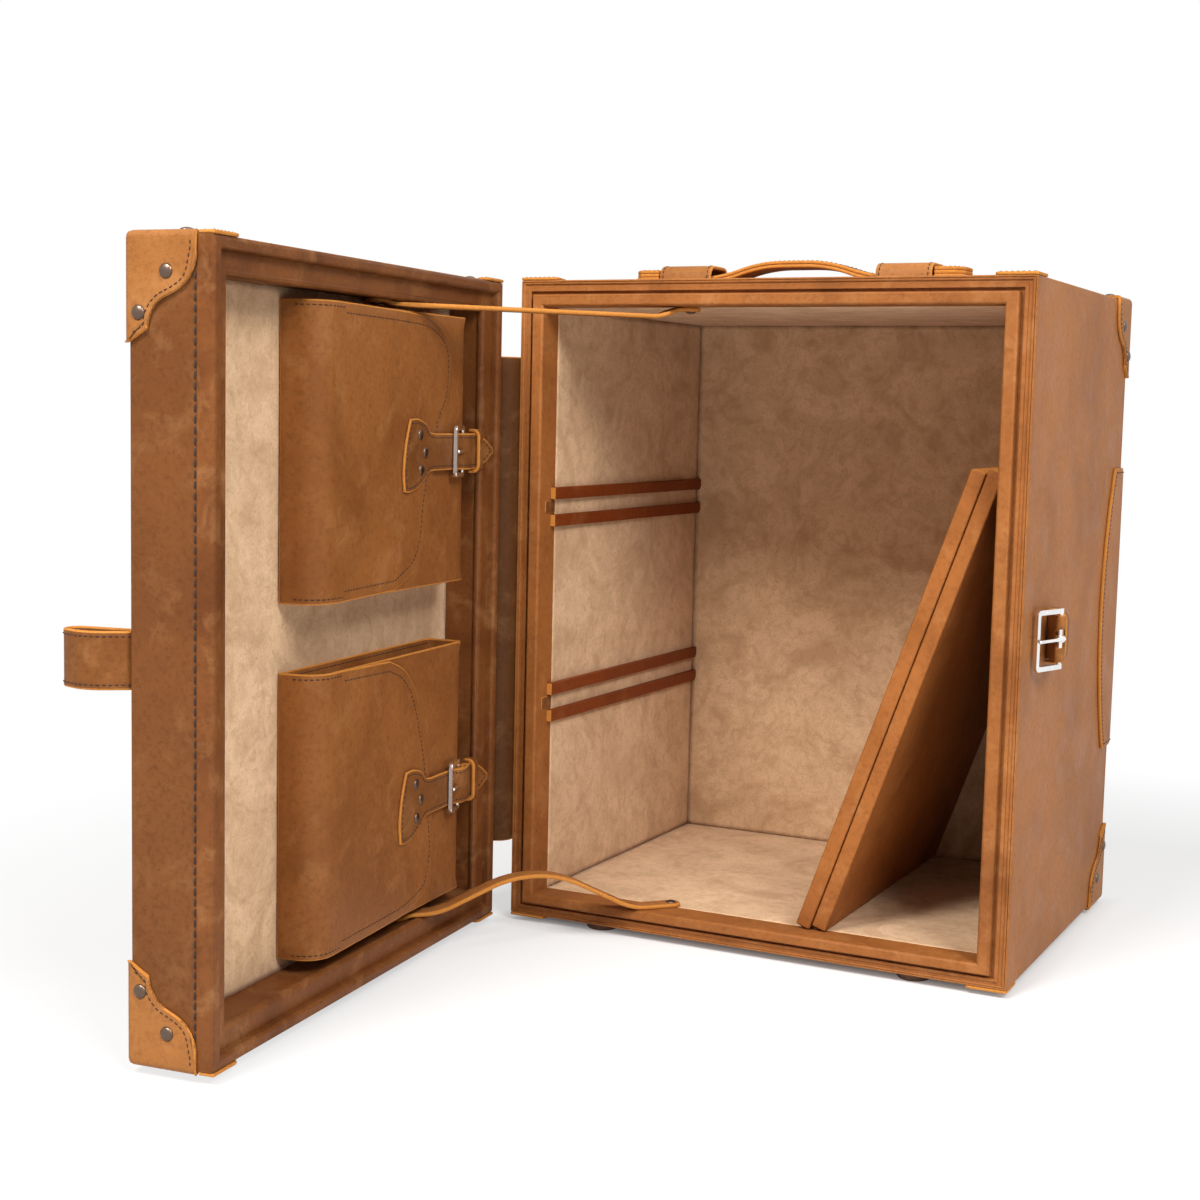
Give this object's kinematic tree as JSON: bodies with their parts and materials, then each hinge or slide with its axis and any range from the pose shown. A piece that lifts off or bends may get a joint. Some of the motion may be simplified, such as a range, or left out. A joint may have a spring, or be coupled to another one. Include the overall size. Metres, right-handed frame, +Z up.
{
  "type": "leather trunk",
  "caption": "Upright leather-covered trunk with a side-hinged tray door, two strapped door pockets, shelf rails, loose shelf boards, a top handle and a closing buckle",
  "frame": {"origin": "middle of the footprint of the open trunk, on the floor that the four feet stand on", "axes": "+Z up; -Y the way the body's opening faces; the open door reaches towards -Y, so +Y is along the longest side; +X to the right seen from the front"},
  "size_m": [0.5549, 0.8318, 0.586],
  "materials": {
    "tan_leather": "waxed pull-up hide, tan",
    "strap_leather": "vegetable tanned strap with raw orange edges",
    "rail_leather": "stained red-brown strip",
    "foot_leather": "stacked and dyed dark brown",
    "suede": "brushed beige pigskin suede",
    "plywood": "birch plywood under the leather",
    "chrome": "polished nickel buckle",
    "dark_bronze": "antiqued rivet head"
  },
  "bodies": {
    "trunk_body": {"back_leather_panel": "tan_leather", "carcass_back_panel": "plywood", "carcass_bottom_panel": "plywood", "carcass_left_panel": "plywood", "carcass_right_panel": "plywood", "carcass_top_panel": "plywood", "feet": "foot_leather", "front_corner_tabs": "strap_leather", "front_lip_frame": "tan_leather", "hinge_strip": "strap_leather", "left_handle_loop": "strap_leather", "left_shelf_rails": "rail_leather", "lower_stay_strap": "strap_leather", "outer_leather_sleeve": "tan_leather", "rear_cap_rivets": "dark_bronze", "rear_corner_caps": "strap_leather", "rear_edge_patch": "tan_leather", "right_handle_loop": "strap_leather", "right_shelf_rails": "rail_leather", "side_buckle_chape": "strap_leather", "side_buckle_keeper": "strap_leather", "stay_body_rivets": "dark_bronze", "suede_back_lining": "suede", "suede_wall_lining": "suede", "upper_stay_strap": "strap_leather"},
    "door": {"door_leather_cover": "tan_leather", "door_frame": "plywood", "door_panel": "plywood", "door_suede_lining": "suede", "door_tray_leather": "tan_leather", "door_rim": "tan_leather", "door_corner_caps": "strap_leather", "door_cap_rivets": "dark_bronze", "door_corner_tabs": "strap_leather", "closing_strap": "strap_leather", "closing_strap_rivets": "dark_bronze", "closing_strap_keeper": "strap_leather", "stay_door_rivets": "dark_bronze", "upper_pocket": "tan_leather", "upper_buckle_chape": "strap_leather", "upper_buckle_keeper": "strap_leather", "lower_pocket": "tan_leather", "lower_buckle_chape": "strap_leather", "lower_buckle_keeper": "strap_leather"},
    "upper_flap": {"upper_pocket_flap": "tan_leather", "upper_pocket_strap": "strap_leather", "upper_pocket_rivets": "dark_bronze"},
    "lower_flap": {"lower_pocket_flap": "tan_leather", "lower_pocket_strap": "strap_leather", "lower_pocket_rivets": "dark_bronze"},
    "upper_buckle": {"upper_buckle_frame": "chrome"},
    "upper_prong": {"upper_buckle_prong": "chrome"},
    "lower_buckle": {"lower_buckle_frame": "chrome"},
    "lower_prong": {"lower_buckle_prong": "chrome"},
    "side_buckle": {"side_buckle_frame": "chrome"},
    "side_prong": {"side_buckle_prong": "chrome"},
    "handle": {"handle_strap": "strap_leather"},
    "left_board": {"left_shelf_board": "tan_leather"},
    "right_board": {"right_shelf_board": "tan_leather"}
  },
  "joints": [
    {"name": "door_hinge", "type": "hinge", "parent": "trunk_body", "child": "door", "pos_m": [-0.20428, 0.06244, 0.287], "axis": [0, 0, -1], "range_deg": [-84.4, 4], "deforming": ["hinge_strip", "upper_stay_strap", "lower_stay_strap"]},
    {"name": "upper_flap_hinge", "type": "hinge", "parent": "door", "child": "upper_flap", "pos_m": [-0.21041, -0.25623, 0.421], "axis": [0, 0, -1], "range_deg": [0, 75], "deforming": ["upper_pocket_strap"]},
    {"name": "lower_flap_hinge", "type": "hinge", "parent": "door", "child": "lower_flap", "pos_m": [-0.21041, -0.25623, 0.152], "axis": [0, 0, -1], "range_deg": [0, 75], "deforming": ["lower_pocket_strap"]},
    {"name": "upper_buckle_swing", "type": "hinge", "parent": "door", "child": "upper_buckle", "pos_m": [-0.19681, -0.02294, 0.42], "axis": [0, 0, 1], "range_deg": [0, 60]},
    {"name": "upper_prong_swing", "type": "hinge", "parent": "upper_buckle", "child": "upper_prong", "pos_m": [-0.19681, -0.02294, 0.42], "axis": [0, 0, 1], "range_deg": [0, 45]},
    {"name": "lower_buckle_swing", "type": "hinge", "parent": "door", "child": "lower_buckle", "pos_m": [-0.19681, -0.02294, 0.138], "axis": [0, 0, 1], "range_deg": [0, 60]},
    {"name": "lower_prong_swing", "type": "hinge", "parent": "lower_buckle", "child": "lower_prong", "pos_m": [-0.19681, -0.02294, 0.138], "axis": [0, 0, 1], "range_deg": [0, 45]},
    {"name": "side_buckle_swing", "type": "hinge", "parent": "trunk_body", "child": "side_buckle", "pos_m": [0.27242, 0.12774, 0.283], "axis": [0, 0, 1], "range_deg": [0, 60]},
    {"name": "side_prong_swing", "type": "hinge", "parent": "side_buckle", "child": "side_prong", "pos_m": [0.27242, 0.12774, 0.283], "axis": [0, 0, 1], "range_deg": [0, 45]},
    {"name": "handle_lift", "type": "slide", "parent": "trunk_body", "child": "handle", "axis": [0, 0, 1], "range_m": [0, 0.004]},
    {"name": "left_board_pull", "type": "slide", "parent": "trunk_body", "child": "left_board", "axis": [0, -1, 0], "range_m": [0, 0.28]},
    {"name": "right_board_pull", "type": "slide", "parent": "trunk_body", "child": "right_board", "axis": [0, -1, 0], "range_m": [0, 0.28]}
  ]
}
